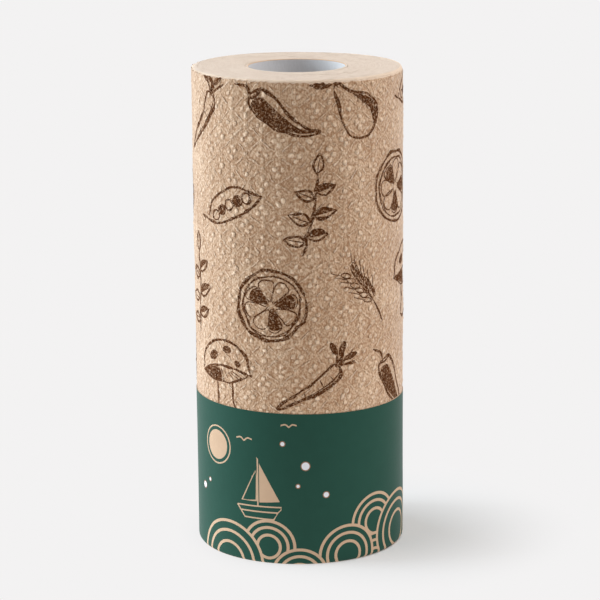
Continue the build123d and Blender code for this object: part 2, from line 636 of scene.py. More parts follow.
# %% Build the outer turn
COLUMNS = DIAMONDS_AROUND * 20 + 1
ROW_STEP = DIAMOND_HEIGHT / 18
SHEET_THICKNESS = 0.35
TOP_DROP = 1.5
TOP_SLANT = 1.0
SLANT_DEPTH = 16.0
LEVEL_DEPTH = 2.0
RAGGED = 0.22
QUILT_START = BAND_TOP - 1.2
FLATTEN = 0.12
BACK_LIFT = 0.3


def sheet_rows():
    """Heights of the rows: close together above the band, and wide apart below it."""
    foot = BASE_ROUNDING * (1 - np.cos(np.linspace(0, np.pi / 2, 5)))
    hidden = np.linspace(BASE_ROUNDING, QUILT_START, 10)[1:-1]
    shown = np.arange(ROLL_HEIGHT - TOP_DROP, QUILT_START, -ROW_STEP)[::-1]
    return np.concatenate([foot, hidden, shown])


def outer_surface(along, height, relief):
    """The outer face of the outer turn, as an array of points."""
    shown = np.clip((height - BAND_TOP) / RAMP_HEIGHT, 0, 1)
    under_rim = ROLL_HEIGHT - height
    ragged = RAGGED * random_waves(21, 2.6, along, 0 * height) * np.clip(3 - under_rim, 0, 1)
    slant = np.clip((SLANT_DEPTH - under_rim) / (SLANT_DEPTH - LEVEL_DEPTH), 0, 1)
    radius = turned_radius(along) - squeezed_by(height) + (relief - FLATTEN) * shown
    return bend(along, height + ragged - TOP_SLANT * aside_of(along) * slant, radius)


ROWS = sheet_rows()
flat_along, flat_height = np.meshgrid(np.linspace(0, AROUND, COLUMNS), ROWS, indexing="ij")
sheet_relief, sheet_pattern = quilting(flat_along, flat_height)
sheet_grid = outer_surface(flat_along, flat_height, sheet_relief)


def close_sheet(outside, back):
    """Points and faces of a thin closed sheet with a detailed face and a plain back."""
    columns, rows = outside.shape[:2]
    points = np.concatenate([outside.reshape(-1, 3), back.reshape(-1, 3)])
    faces = grid_triangles(columns, rows)
    start = columns * rows
    low, high = start + 2 * np.arange(columns), start + 2 * np.arange(columns) + 1
    for c in range(columns - 1):
        faces.append((low[c], high[c], high[c + 1], low[c + 1]))
        faces.append((c * rows, low[c], low[c + 1], (c + 1) * rows))
        faces.append((c * rows + rows - 1, (c + 1) * rows + rows - 1, high[c + 1], high[c]))
    last = (columns - 1) * rows
    faces.append((*range(rows), high[0], low[0]))
    faces.append((*range(last + rows - 1, last - 1, -1), low[-1], high[-1]))
    return points, [tuple(int(i) for i in face) for face in faces]


def keep_quilting(piece, heights, pattern):
    """Stores each point's height and its place in the pattern, where the material finds them."""
    kept = [("relief", "FLOAT", "value", heights), ("pattern", "FLOAT_VECTOR", "vector", pattern)]
    for name, kind, field, values in kept:
        layer = piece.data.attributes.new(name, kind, "POINT")
        layer.data.foreach_set(field, np.asarray(values, dtype=np.float32).ravel())


back_radius = turned_radius(flat_along[:, 0]) - BAND_SQUEEZE - FLATTEN - SHEET_THICKNESS
back = np.stack([bend(flat_along[:, 0], ROWS[end], back_radius) for end in (0, -1)], axis=1)
back[:, 0, 2] = ROWS[0] + BACK_LIFT
outer_turn = add_piece("outer_turn", *close_sheet(sheet_grid, back), [tissue])
keep_quilting(
    outer_turn,
    np.concatenate([sheet_relief.ravel(), np.zeros(2 * COLUMNS)]),
    np.concatenate([sheet_pattern.reshape(-1, 3), sheet_pattern[:, [0, -1]].reshape(-1, 3)]),
)
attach(outer_turn, "root")
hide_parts("wound_sheet")

# %% [markdown]
# ## Drawing with a soft pencil
# The towel is printed with loose kitchen-garden sketches in one brown ink. A hand goes over
# the main lines twice and draws the finer ones once, and all of them wander, swell and thin.
# A line here is a smooth curve through a few chosen points, kept as a chain of short segments
# that each have their own width. A pen collects such lines, and filled shapes, for one motif
# of about 30 mm round its own middle.

# %% Draw lines by hand
SEGMENT = 0.7
SAMPLES_A_STEP = 6
WANDER = 0.3
SWELL = 0.25
THINNEST = 0.16


def smooth_curve(points, closed=False):
    """Even samples along a smooth curve through a few points."""
    points = np.asarray(points, dtype=float)
    if closed:
        points = np.concatenate([points[-1:], points, points[:2]])
    else:
        points = np.concatenate([2 * points[:1] - points[1:2], points, 2 * points[-1:] - points[-2:-1]])
    pieces = []
    for a, b, c, d in zip(points, points[1:], points[2:], points[3:]):
        count = max(2, int(math.dist(b, c) / SEGMENT) + 1)
        t = np.linspace(0, 1, count, endpoint=False)[:, None]
        square, cube = 2 * a - 5 * b + 4 * c - d, 3 * b - a - 3 * c + d
        pieces.append(0.5 * (2 * b + (c - a) * t + square * t**2 + cube * t**3))
    return np.concatenate([*pieces, points[-2:-1]])


def ring(centre, wide, high, turn=0.0, count=10):
    """Points of an oval."""
    around = np.linspace(0, 2 * np.pi, count, endpoint=False)
    x, y = wide * np.cos(around), high * np.sin(around)
    return np.stack([
        centre[0] + x * math.cos(turn) - y * math.sin(turn),
        centre[1] + x * math.sin(turn) + y * math.cos(turn),
    ], axis=1)


def turned(points, turn, scale=1.0):
    """Flat points turned round the origin, and scaled."""
    along, across = math.cos(turn), math.sin(turn)
    return points @ (scale * np.array([[along, across], [-across, along]]))


class Pen:
    """Draws one motif. Its strokes are (middle points, half widths), its fills are outlines."""

    def __init__(self, draw):
        self.draw = draw
        self.strokes = []
        self.fills = []

    def wander(self, count, size):
        """Slow random steps of one hand, one value a sample."""
        knots = self.draw.normal(0, 1, count // SAMPLES_A_STEP + 4)
        return size * np.interp(np.arange(count) / SAMPLES_A_STEP, np.arange(len(knots)), knots)

    def line(self, points, width=0.7, closed=False, passes=2):
        """A line through a few points, drawn over as often as there are passes."""
        curve = smooth_curve(points, closed)
        count = len(curve)
        for _ in range(passes):
            shaky = curve + np.stack([self.wander(count, WANDER), self.wander(count, WANDER)], axis=1)
            taper = np.clip(np.minimum(np.arange(count) + 1, count - np.arange(count)) / 4, 0.45, 1)
            half = width / 2 * taper * (1 + self.wander(count, SWELL))
            self.strokes.append((shaky, np.clip(half, THINNEST, None)))

    def fine(self, points, width=0.45, closed=False):
        """A finer line, drawn once."""
        self.line(points, width, closed, passes=1)

    def fill(self, *outlines):
        self.fills += [smooth_curve(outline, True) for outline in outlines]

    def leaf(self, foot, heading, length, filled=False):
        """A pointed leaf with a midrib."""
        ahead = np.array([math.cos(heading), math.sin(heading)])
        aside = np.array([-ahead[1], ahead[0]])
        edge = [(0.0, 0.0), (0.3, 0.22), (0.62, 0.2), (1.0, 0.0)]
        foot = np.asarray(foot, dtype=float)
        left, right = ([foot + length * (a * ahead + way * b * aside) for a, b in edge] for way in (1, -1))
        self.line(left)
        self.line(right)
        self.fine([foot, foot + 0.8 * length * ahead])
        if filled:
            self.fills.append(np.concatenate([smooth_curve(left), smooth_curve([left[-1], foot])[1:]]))


print("a pencil line of 30 mm has", len(smooth_curve([(0, 0), (30, 0)])), "samples")

# %% [markdown]
# ## Kitchen-garden motifs
# Eight simple motifs are enough for a print that repeats all round: a leafy sprig, a mushroom,
# a pear, a slice of lemon, a carrot, a pea pod, an ear of wheat and a chilli. Each is a short
# list of what the pen does, outlines first, then shading lines, then what is filled with ink.

# %% Draw the motifs
def sprig(pen):
    pen.line([(-13, -11), (-6, -5), (2, 1), (12, 12)], 0.8)
    leaves = [
        (-9, -7.6, 2.3, 9), (-7, -6, -0.5, 9), (-2, -2, 2.2, 10), (0, -0.6, -0.4, 10),
        (5, 4.4, 2.1, 9), (7, 6.4, -0.3, 9), (12, 12, 0.8, 9),
    ]
    for number, (x, y, heading, length) in enumerate(leaves):
        pen.leaf((x, y), heading, length, number % 2 == 1)


def mushroom(pen):
    pen.line([(-13, 1), (-11, 8), (-4, 13), (4, 13), (11, 8), (13, 1)], 0.8)
    pen.line([(-13, 1), (-6, -1.5), (0, -2), (6, -1.5), (13, 1)])
    pen.line([(-13, 1), (0, 4), (13, 1)])
    pen.line([(-4, -2), (-3.4, -8), (-4.6, -13)])
    pen.line([(4, -2), (4, -8), (5.4, -13)])
    pen.line([(-4.6, -13), (0, -14.4), (5.4, -13)])
    for x in np.linspace(-9, 9, 9):
        pen.fine([(x * 0.55, 2.6 - abs(x) * 0.08), (x, -0.9 + abs(x) * 0.08)], 0.4)
    spots = [((-5, 7.4), 2.6, 1.7, 0.4), ((2.6, 10), 2.2, 1.4, -0.1), ((7.2, 5), 1.5, 1.1, -0.6)]
    pen.fill(*(ring(*spot) for spot in spots))
    pen.fill([(-12.4, 0.9), (-6, -1.1), (-1, -1.6), (-2.4, 2.9), (-7, 2.5)])


def pear(pen):
    left = [(-1, 12), (-4, 6), (-8, -1), (-9, -8), (-4, -13.5)]
    right = [(3, -13.5), (9, -8), (8, -1), (3.6, 6), (2, 12)]
    pen.line(left + right, 0.8, closed=True)
    pen.line([(0.5, 12), (1, 15), (3, 17.5)], 0.9)
    for level in range(5):
        y = -10 + level * 3
        pen.fine([(4.5 - level * 0.4, y - 1.6), (7.4 - level * 0.5, y + 1.8)])
    pen.leaf((1.5, 15), 2.6, 10, True)
    pen.fill([(2, -12.6), (7, -10.6), (8.6, -6.6), (7.4, -1), (4.4, 4), (3, 8), (4.2, -1), (5, -7)])


def lemon_slice(pen):
    pen.line(ring((0, 0), 12.5, 12.5), 0.9, closed=True)
    pen.line(ring((0, 0), 10.6, 10.6), 0.5, closed=True)
    wedge = np.array([(1.6, 0), (7.6, 2.7), (9.4, 1.2), (9.4, -1.2), (7.6, -2.7)])
    for number in range(8):
        segment = turned(wedge, number * math.pi / 4)
        pen.fine(segment, 0.5, closed=True)
        if number % 3 == 0:
            pen.fill(segment * 0.92)


def carrot(pen):
    right = [(7, 9), (9.5, 6), (8, 2), (1, -6), (-7, -13), (-11, -16)]
    pen.line(right + [(-8.4, -11), (-2, -3), (3, 6), (4.5, 9)], 0.8, closed=True)
    marks = [(5.4, 4.5, 3.4), (1.2, 1.4, 3.2), (1.6, -2.4, 2.6), (-3, -6.2, 2.2), (-5.4, -10.2, 1.8)]
    for x, y, length in marks:
        pen.fine([(x, y), (x + length * 0.8, y - length * 0.75)], 0.5)
    for x, y in ((1, 17), (6, 19), (11, 17.5), (14, 13)):
        pen.line([(6.5, 8.6), (0.6 * 6.5 + 0.4 * x + 0.8, 0.5 * (8.6 + y)), (x, y)], 0.75)
    tufts = [((2.6, 15.4), 3.2, 1.3, 2.4), ((6.2, 16.6), 3.4, 1.4, 1.6), ((11, 14.6), 3.2, 1.3, 0.7)]
    pen.fill(*(ring(*tuft) for tuft in tufts))
    shade = [(8.4, 6.6), (7.2, 2.4), (0.8, -5.2), (-6.6, -12.2), (-9.6, -14.8)]
    pen.fill(shade + [(-4, -9.4), (2, -3.4), (6.4, 2.6)])


def pea_pod(pen):
    pen.line([(-16, 3), (-9, 7.5), (0, 8.5), (9, 5.5), (16, -2)], 0.8)
    pen.line([(-16, 3), (-10, -1.5), (-1, -3.5), (8, -3.6), (16, -2)], 0.8)
    pen.line([(-16, 3), (-19, 5.5)], 0.9)
    for number, x in enumerate(np.linspace(-9.5, 9, 5)):
        middle = (x, 2.4 - 0.012 * (x + 3) ** 2)
        pen.line(ring(middle, 2.1, 2.1), 0.55, closed=True)
        if number % 2:
            pen.fill(ring(middle, 1.9, 1.9))


def wheat_ear(pen):
    pen.line([(-3, -19), (-1, -8), (0, 0), (0.6, 12)], 0.75)
    for row in range(6):
        y = -5 + row * 3.4
        for side in (-1, 1):
            middle, lean = (side * 2.5, y + 1.2), math.pi / 2 - side * 0.5
            pen.fine(ring(middle, 2.4, 1.1, lean), 0.5, closed=True)
            pen.fine([(side * 3.6, y + 3), (side * 6.6, y + 8)], 0.4)
        pen.fill(ring(middle, 1.6, 0.6, lean))


def chilli(pen):
    back = [(-9, 9), (-4, 10.5), (1, 6), (5, -1), (11, -7), (16, -9.5)]
    pen.line(back + [(8, -9.4), (-1, -5.4), (-8, 1), (-10.5, 6)], 0.8, closed=True)
    pen.line([(-9, 9), (-11, 12), (-15, 13.5)], 1.1)
    pen.line([(-11, 7), (-7, 8.6), (-4, 11)], 0.8)
    shade = [(-9.4, 5.6), (-7.4, 1.2), (-0.8, -4.6), (8, -8.6), (14, -9)]
    pen.fill(shade + [(8, -6.6), (2.6, -1), (-1.6, 4), (-5, 7.4)])


MOTIFS = [
    (sprig, 1.1), (mushroom, 1.25), (pear, 1.1), (lemon_slice, 1.3),
    (carrot, 1.1), (pea_pod, 1.1), (wheat_ear, 1.0), (chilli, 1.15),
]
print("motifs", [motif.__name__ for motif, scale in MOTIFS])

# %% [markdown]
# ## Laying the ink on the quilting
# A flat decal would cut through the quilting, so the ink follows the very same triangles. Round
# each motif the sheet's own triangles and the edges of the drawn lines are cut into one flat
# net, every piece of which lies either on ink or off it. The pieces on ink are lifted onto the
# sheet by the triangle that they lie in, a hair above it.

# %% Cut a net of triangles along drawn shapes
INK_LIFT = 0.05


def stroke_outline(middle, half):
    """The closed outline of one drawn line."""
    ahead = np.gradient(middle, axis=0)
    ahead /= np.maximum(np.linalg.norm(ahead, axis=1, keepdims=True), 1e-9)
    aside = np.stack([-ahead[:, 1], ahead[:, 0]], axis=1) * half[:, None]
    return np.concatenate([middle + aside, (middle - aside)[::-1]])


def on_strokes(places, strokes):
    """Which places lie on any of the drawn lines."""
    hit = np.zeros(len(places), dtype=bool)
    for middle, half in strokes:
        start, along = middle[:-1], np.diff(middle, axis=0)
        length = np.maximum((along**2).sum(axis=1), 1e-9)
        near = (abs(places - middle.mean(axis=0)) < np.ptp(middle, axis=0) / 2 + 2).all(axis=1)
        index = np.nonzero(near)[0]
        if len(index) == 0:
            continue
        offset = places[index][:, None, :] - start[None]
        t = np.clip((offset * along[None]).sum(axis=2) / length, 0, 1)
        distance = np.linalg.norm(offset - t[..., None] * along[None], axis=2)
        width = half[:-1] * (1 - t) + half[1:] * t
        hit[index] |= (distance < width).any(axis=1)
    return hit


def inside(places, outline):
    """Which places lie inside a closed outline."""
    x, y = places[:, 0][:, None], places[:, 1][:, None]
    x1, y1 = outline[:, 0], outline[:, 1]
    x2, y2 = np.roll(x1, -1), np.roll(y1, -1)
    crosses = (y1 > y) != (y2 > y)
    at = x1 + (y - y1) / np.where(y2 == y1, 1e-9, y2 - y1) * (x2 - x1)
    return (crosses & (x < at)).sum(axis=1) % 2 == 1


def cut_net(points, edges, outlines):
    """Triangles of a flat net that has all the given edges and outlines in it."""
    points, edges = [tuple(p) for p in points], [tuple(e) for e in edges]
    for outline in outlines:
        first = len(points)
        points += [tuple(p) for p in outline]
        count = len(outline)
        edges += [(first + i, first + (i + 1) % count) for i in range(count)]
    flat = [Vector((float(x), float(y))) for x, y in points]
    net = delaunay_2d_cdt(flat, [(int(a), int(b)) for a, b in edges], [], 0, 1e-5)
    return np.array([tuple(v) for v in net[0]]), np.array(net[2], dtype=int)


def grid_edges(number, diagonals=False):
    """Edges between the neighbours of a grid of point numbers, as pairs."""
    pairs = [(number[:-1], number[1:]), (number[:, :-1], number[:, 1:])]
    if diagonals:
        pairs.append((number[:-1, :-1], number[1:, 1:]))
    return [edge for here, there in pairs for edge in zip(here.ravel(), there.ravel())]


# %% Lift the ink onto the sheet
COLUMN_STEP = AROUND / (COLUMNS - 1)
FIRST_SHOWN = int(np.searchsorted(ROWS, QUILT_START))


def grid_net(low, high):
    """The sheet's own points and edges between two flat corners."""
    first, last = int(low[0] // COLUMN_STEP), int(high[0] // COLUMN_STEP) + 1
    columns = np.arange(max(first, 0), min(last, COLUMNS - 1) + 1)
    rows = np.nonzero((ROWS >= low[1] - ROW_STEP) & (ROWS <= high[1] + ROW_STEP))[0]
    rows = rows[rows >= FIRST_SHOWN]
    points = [(c * COLUMN_STEP, ROWS[r]) for c in columns for r in rows]
    number = np.arange(len(points)).reshape(len(columns), len(rows))
    return points, grid_edges(number, diagonals=True)


def on_triangles(values, places):
    """What the sheet's own triangles have at flat places, from an array of values at its points."""
    column = np.clip((places[:, 0] / COLUMN_STEP).astype(int), 0, COLUMNS - 2)
    row = np.clip(np.searchsorted(ROWS, places[:, 1], side="right") - 1, 0, len(ROWS) - 2)
    right = np.clip(places[:, 0] / COLUMN_STEP - column, 0, 1)[:, None]
    up = np.clip((places[:, 1] - ROWS[row]) / (ROWS[row + 1] - ROWS[row]), 0, 1)[:, None]
    a, b = values[column, row], values[column + 1, row]
    c, d = values[column + 1, row + 1], values[column, row + 1]
    lower = a + right * (b - a) + up * (c - b)
    upper = a + up * (d - a) + right * (c - d)
    return np.where(right >= up, lower, upper)


def on_sheet(places, lift):
    """Points on the sheet, lifted along the way out."""
    spot = on_triangles(sheet_grid, places)
    out = spot * (1, 1, 0)
    return spot + lift * out / np.linalg.norm(out, axis=1, keepdims=True)


def ink_motif(strokes, fills):
    """Flat points and triangles of everything inked in one motif."""
    outlines = [stroke_outline(*stroke) for stroke in strokes] + fills
    everything = np.concatenate(outlines)
    points, edges = grid_net(everything.min(axis=0), everything.max(axis=0))
    places, triangles = cut_net(points, edges, outlines)
    middles = places[triangles].mean(axis=1)
    inked = on_strokes(middles, strokes)
    for outline in fills:
        inked |= inside(middles, outline)
    inked &= (middles[:, 0] > 0) & (middles[:, 0] < AROUND)
    inked &= (middles[:, 1] > ROWS[FIRST_SHOWN]) & (middles[:, 1] < ROWS[-1])
    return places, triangles[inked]


# %% [markdown]
# ## Spreading the motifs
# A printed towel has its motifs scattered so that no two like ones meet: they stand in four
# staggered rows, each turned and shifted a little. Some run off the top edge or under the band.

# %% Print the towel
PRINT_ROWS = 4
PRINT_COLUMNS = 7
PLACE_SEED = 1
PENCIL_SEED = 5
FIRST_PRINT = BAND_TOP + 12
PRINT_STEP = 42
STROKE_SCALE = 1.15


def print_places():
    """Flat place, turn, scale and motif of each print on the sheet."""
    draw = np.random.default_rng(PLACE_SEED)
    for row in range(PRINT_ROWS):
        for column in range(PRINT_COLUMNS):
            along = (column + 0.5 * (row % 2) + 0.25 + draw.uniform(-0.1, 0.1)) * AROUND / PRINT_COLUMNS
            height = FIRST_PRINT + row * PRINT_STEP + draw.uniform(-5, 5)
            motif, scale = MOTIFS[(column * 3 + row * 2) % len(MOTIFS)]
            yield (along, height), draw.uniform(-0.9, 0.9), scale, motif


def print_towel():
    """All the ink as one thin skin over the outer turn."""
    draw = np.random.default_rng(PENCIL_SEED)
    points, faces, heights, pattern, count = [], [], [], [], 0
    for middle, turn, scale, motif in print_places():
        pen = Pen(draw)
        motif(pen)
        strokes = [(turned(line, turn, scale) + middle, half * STROKE_SCALE) for line, half in pen.strokes]
        fills = [turned(outline, turn, scale) + middle for outline in pen.fills]
        places, triangles = ink_motif(strokes, fills)
        used, triangles = np.unique(triangles, return_inverse=True)
        points.append(on_sheet(places[used], INK_LIFT))
        heights.append(on_triangles(sheet_relief[..., None], places[used])[:, 0])
        pattern.append(on_triangles(sheet_pattern, places[used]))
        faces.append(triangles.reshape(-1, 3) + count)
        count += len(used)
    piece = add_piece("towel_print", np.concatenate(points), np.concatenate(faces).tolist(), [brown_ink])
    keep_quilting(piece, np.concatenate(heights), np.concatenate(pattern))
    return piece


towel_print = print_towel()
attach(towel_print, "root")

# %% [markdown]
# ## The wound turns
# On the end faces the roll shows its turns edge on. They are cut clean, so the face is smooth
# and pale, but winding leaves some turns a little higher than others and some slightly apart.
# The face is modelled as one long spiral: its height depends on how many turns lie between a
# point and the core. It leans a little to the right, as its rim does. Finer lines than the mesh
# can hold are left to the material, which streaks them along the turns. Near the rim it turns
# tan, partly the outer sheet's own colour and partly painted light on the shaded rounding.

# %% Build the wound turns
TURN_PITCH = 1.04
END_SAMPLES = 88
FOOT_SAMPLES = 12
END_LEVEL = ROLL_HEIGHT - 0.1
TOP_ROUNDING = 1.5
LEAN = 0.4
TURN_RELIEF = 0.12
TURN_LEVELS = np.random.default_rng(31).normal(0, 1, 40)
CROWN = 0.5
UNEVEN = 0.35
PARTED = 0.8
PARTING_EDGE = 0.35
BORE_CHAMFER = 0.5
CORE_GAP = 0.02
BODY_GAP = 0.05
FADE_WIDTH = 0.8
RIM_STEP = 0.2
RIM_DROPS = (1.2, 0.15)
STREAK_GRAIN = 7.0
STREAK_EDGE = (0.38, 0.62)
STREAK_SHADE = 0.4
LINE_EDGE = (0.3, 0.5)
FIBRE_SHADE = 0.2
RIM_WIDTH = 1.6
RIM_TAN_AND_PAINTED_LIGHT = 0.4


def turn_height(radius, turn):
    """How far each wound turn stands out of the end face."""
    count = (radius - CORE_RADIUS) / TURN_PITCH - turn / (2 * np.pi)
    number = np.floor(count)
    level = TURN_LEVELS[np.clip(number.astype(int) + 3, 0, len(TURN_LEVELS) - 1)]
    crown = np.sin(np.pi * (count - number)) ** 0.6
    parting = 0.5 + 0.5 * np.sin(3 * turn + number * 1.7)
    crest = CROWN * crown + UNEVEN * level * crown
    return TURN_RELIEF * (crest - PARTED * parting * (crown < PARTING_EDGE))


def end_profile(column):
    """Points of one cut through the wound turns, from the bore's foot round and back."""
    along = flat_along[column, 0]
    rim = np.hypot(*sheet_grid[column, -1, :2]) - RIM_STEP
    rim_height = sheet_grid[column, -1, 2]
    body = back_radius[column] + BODY_GAP
    inner = CORE_RADIUS + BORE_CHAMFER
    foot = np.linspace(inner, body - BASE_ROUNDING, FOOT_SAMPLES)
    face = np.linspace(rim - TOP_ROUNDING, inner, END_SAMPLES)
    bend_up = np.linspace(0, np.pi / 2, 5)
    fade = np.clip((face - inner) / FADE_WIDTH, 0, 1)
    lean = LEAN * aside_of(along) * face / ROLL_RADIUS
    radius = np.concatenate([
        [CORE_RADIUS + CORE_GAP], foot,
        body - BASE_ROUNDING + BASE_ROUNDING * np.sin(bend_up[1:]), [body, rim],
        rim - TOP_ROUNDING + TOP_ROUNDING * np.cos(bend_up[:-1]),
        face, [CORE_RADIUS + CORE_GAP],
    ])
    height = np.concatenate([
        [BORE_CHAMFER], 0 * foot,
        BASE_ROUNDING * (1 - np.cos(bend_up[1:])), [rim_height - drop for drop in RIM_DROPS],
        rim_height + (END_LEVEL - rim_height) * np.sin(bend_up[:-1]),
        END_LEVEL - lean + turn_height(face, along / ROLL_RADIUS) * fade, [END_LEVEL - BORE_CHAMFER],
    ])
    return bend(np.full(len(radius), along), height, radius)


def wound_turns():
    """The body of the roll as a closed ring."""
    cuts = np.stack([end_profile(column) for column in range(COLUMNS - 1)])
    here = np.arange(cuts.shape[0] * cuts.shape[1]).reshape(cuts.shape[:2])
    there = np.roll(here, -1, axis=0)
    faces = np.stack([here, np.roll(here, -1, axis=1), np.roll(there, -1, axis=1), there], axis=-1)
    return add_piece("wound_turns", cuts.reshape(-1, 3), faces.reshape(-1, 4).tolist(), [end_material()])


def end_material():
    """Cut paper edges: paler than the sheet's face, and parted by thin lines. The rim is tan: partly the
    outer sheet's colour, partly painted light on its shaded rounding.
    """
    kit = Kit(bpy.data.materials.new("cut_edges"))
    x, y, _, radius, turn = kit.axis_parts()
    count = radius / (TURN_PITCH / 2) - turn
    line = abs(count.fraction() - 0.5).above(*LINE_EDGE)
    sockets = {0: x / radius * STREAK_GRAIN, 1: y / radius * STREAK_GRAIN, 2: radius}
    streak_place = kit.node("ShaderNodeCombineXYZ", None, sockets)
    sockets = {"Vector": streak_place, "Scale": 1.0, "Detail": 3.0}
    streaks = kit.node("ShaderNodeTexNoise", None, sockets).above(*STREAK_EDGE) * line
    fibres = kit.noise(0.3, 2.0)
    cut = kit.blend(streaks * STREAK_SHADE + fibres * FIBRE_SHADE, CUT_EDGES, TISSUE_SHADE)
    # Painted light: near the rim the face blends towards the brighter tissue tan, partly the outer sheet's
    # own colour, partly lifting the shaded rounding.
    rim = radius.above(ROLL_RADIUS - RIM_WIDTH, ROLL_RADIUS - RIM_WIDTH + 1.0) * RIM_TAN_AND_PAINTED_LIGHT
    normal = kit.bump((fibres - streaks) * 0.5, 0.25)
    return kit.surface(kit.blend(rim, cut, TISSUE), 0.95, 0.2, normal)


turns = wound_turns()
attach(turns, "root")
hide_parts("wound_sheet")

# %% [markdown]
# ## The core
# The cardboard core keeps its exact shape from the frame. It is wound from grey plies in a
# spiral, so its inside has the long fibres of recycled board and a faint seam, and its rim
# shows the tan liner's edge.

# %% Dress the core
BOARD = screen_colour(221, 219, 220)
BOARD_DARK = screen_colour(200, 196, 195)
LINER = screen_colour(202, 164, 128)
PLY_PITCH = 75.0
SEAM_EDGE = (0.485, 0.498)
SEAM_SHADE = 0.5
BOARD_FIBRES = 0.7
BORE_RADIUS = frame["record"]["mounts"][0]["dims"]["r_mm"]


def board_material():
    """Grey board inside, tan at the rim and pale on the outside."""
    kit = Kit(bpy.data.materials.new("grey_board"))
    _, _, z, radius, turn = kit.axis_parts()
    seam = abs((z / PLY_PITCH - turn).fraction() - 0.5).above(*SEAM_EDGE)
    fibres = kit.noise(0.9, 4.0, (1, 1, 0.35))
    grey = kit.blend(fibres * BOARD_FIBRES + seam * SEAM_SHADE, BOARD, BOARD_DARK)
    outside = kit.blend(radius.above(BORE_RADIUS + 0.25, BORE_RADIUS + 0.35), LINER, CUT_EDGES)
    top = z.above(ROLL_HEIGHT - 0.5, ROLL_HEIGHT - 0.3)
    rim = top.most(radius.above(BORE_RADIUS + 0.1, BORE_RADIUS + 0.2))
    normal = kit.bump(fibres - seam * 0.6, 0.12)
    return kit.surface(kit.blend(rim, grey, outside), 0.75, 0.35, normal)


core = frame["nodes"]["core_tube"]
core.data.materials.clear()
core.data.materials.append(board_material())
print("core dressed, bore", round(2 * BORE_RADIUS, 1), "wide")

# %% [markdown]
# ## The band's print
# The band is smooth paper printed green all over, with a sea of waves along its foot in the
# colour of kraft paper. Each wave is a set of rings round one centre, and nearer waves hide
# those behind, like fish scales. That is a painter's picture, so it is worked out as one: a
# place takes its colour from the nearest thing that covers it. A small boat, a low sun, two
# birds and a few drops in white stand over the waves. Waves and drops are written as (distance
# from the front's middle, height, radius), and the boat's parts round a place of its own.

# %% List what is printed, nearest first
WAVE_LINE = 1.38
FRONT_WAVES = [
    (-0.5, -5.4, 13.5), (-36.5, -0.9, 19.2), (22.7, 3.6, 14.5), (57.7, 8.4, 18.7),
    (-15.0, 8.4, 13.0), (38.0, -2.9, 14.3), (38.5, 16.6, 14.0),
]
RING_SHARES = (1.0, 0.76, 0.48)
BACK_WAVES = 9
BACK_START = 76.0
BACK_STEP = 16.5
BACK_SIZES = (15.5, 18.0, 13.5, 17.0)
BACK_HEIGHTS = (-1.0, 8.0, 3.0, 11.0)
DROPS = [
    (-8.0, 58.0, 1.4), (2.5, 47.5, 2.3), (-1.0, 38.0, 1.2),
    (12.0, 33.5, 1.7), (-56.0, 30.5, 1.9), (-50.5, 34.5, 1.2),
]
DROP_RIM = 0.45
SUN = (-44.0, 53.0, 7.0)
SUN_RING = 1.9
BOAT = (-20.0, 24.0)
HULL = [(-11, 3), (11.5, 3.6), (7.5, -2.5), (-7, -2.5), (-11, 3)]
JIB = [(-0.9, 6), (-0.9, 21), (-8.5, 5.4), (-0.9, 6)]
MAST = [(-0.15, 3), (-0.15, 26)]
PLANK = [(-9, 0.6), (9.6, 0.9)]
MAINSAIL = [(0.6, 5.2), (0.6, 24), (10.5, 6.2)]
GULLS = [(-27.0, 58.0, 4.2), (-5.0, 66.0, 3.6)]
WING = [(0, 0), (0.45, 0.34), (1, 0.22)]
THIN_LINE = 0.7


def all_waves():
    """The front's waves and a row of like ones that runs on round the back, nearest first."""
    more = [
        (BACK_START + n * BACK_STEP, BACK_HEIGHTS[n % 4] - 3 * (n % 3), BACK_SIZES[n % 4])
        for n in range(BACK_WAVES)
    ]
    start = [(x - AROUND, z, radius) for x, z, radius in more[5:]]
    return FRONT_WAVES[:4] + more[::2] + start[1::2] + FRONT_WAVES[4:] + more[1::2] + start[::2]


def circle(x, z, radius):
    count = max(16, int(radius * 5))
    around = np.linspace(0, 2 * np.pi, count, endpoint=False)
    return np.stack([x + radius * np.cos(around), z + radius * np.sin(around)], axis=1)


def outline_strokes():
    """The thin drawn lines of the picture, as (middle points, half widths)."""
    lines = [np.asarray(part, dtype=float) + BOAT for part in (HULL, JIB, MAST, PLANK)]
    for x, z, span in GULLS:
        lines += [smooth_curve([(x + side * a * span, z + b * span) for a, b in WING]) for side in (-1, 1)]
    sun_ring = circle(SUN[0], SUN[1], SUN[2] + SUN_RING)
    lines.append(np.concatenate([sun_ring, sun_ring[:1]]))
    return [(line, np.full(len(line), THIN_LINE / 2)) for line in lines]


GREEN, KRAFT, WHITE, RIM = range(4)
waves = all_waves()
thin_lines = outline_strokes()
mainsail = np.asarray(MAINSAIL, dtype=float) + BOAT
print(len(waves), "waves,", len(thin_lines), "thin lines")


def paint(places):
    """Ink number of each place on the flat band."""
    ink = np.full(len(places), GREEN)
    ink[on_strokes(places, thin_lines) | inside(places, mainsail)] = KRAFT
    ink[np.hypot(*(places - SUN[:2]).T) < SUN[2]] = KRAFT
    for x, z, radius in DROPS:
        distance = np.hypot(*(places - (x, z)).T)
        ink[distance < radius] = RIM
        ink[distance < radius - DROP_RIM] = WHITE
    for x, z, radius in reversed(waves):
        distance = np.hypot(*(places - (x, z)).T)
        ink[distance < radius] = GREEN
        for share in RING_SHARES:
            outer = radius * share
            ink[(distance < outer) & (distance > outer - WAVE_LINE)] = KRAFT
    return ink


